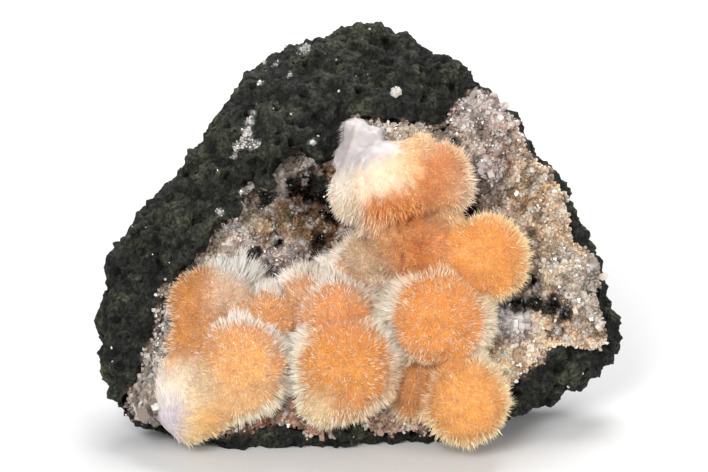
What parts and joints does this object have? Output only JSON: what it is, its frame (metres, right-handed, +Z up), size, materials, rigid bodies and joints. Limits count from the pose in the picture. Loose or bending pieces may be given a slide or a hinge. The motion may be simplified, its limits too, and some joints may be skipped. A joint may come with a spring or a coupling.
{
  "type": "thomsonite on heulandite mineral specimen",
  "caption": "Orange needle-covered thomsonite balls on a crust of small heulandite crystals, in a hollow of a dark basalt block that stands on a flat base.",
  "frame": {"origin": "centre of the footprint of the whole specimen, on the surface that it stands on", "axes": "+Z up, -Y towards the viewer of the open hollow, +X along the specimen's width"},
  "size_m": [0.0946, 0.0612, 0.0658],
  "materials": {
    "basalt": "rough, pitted, broken rock",
    "heulandite": "glassy, translucent small crystals",
    "thomsonite": "silky, translucent needles"
  },
  "bodies": {
    "root": {"basalt_matrix": "basalt", "heulandite_crust": "heulandite", "thomsonite_cluster": "thomsonite"}
  },
  "joints": []
}
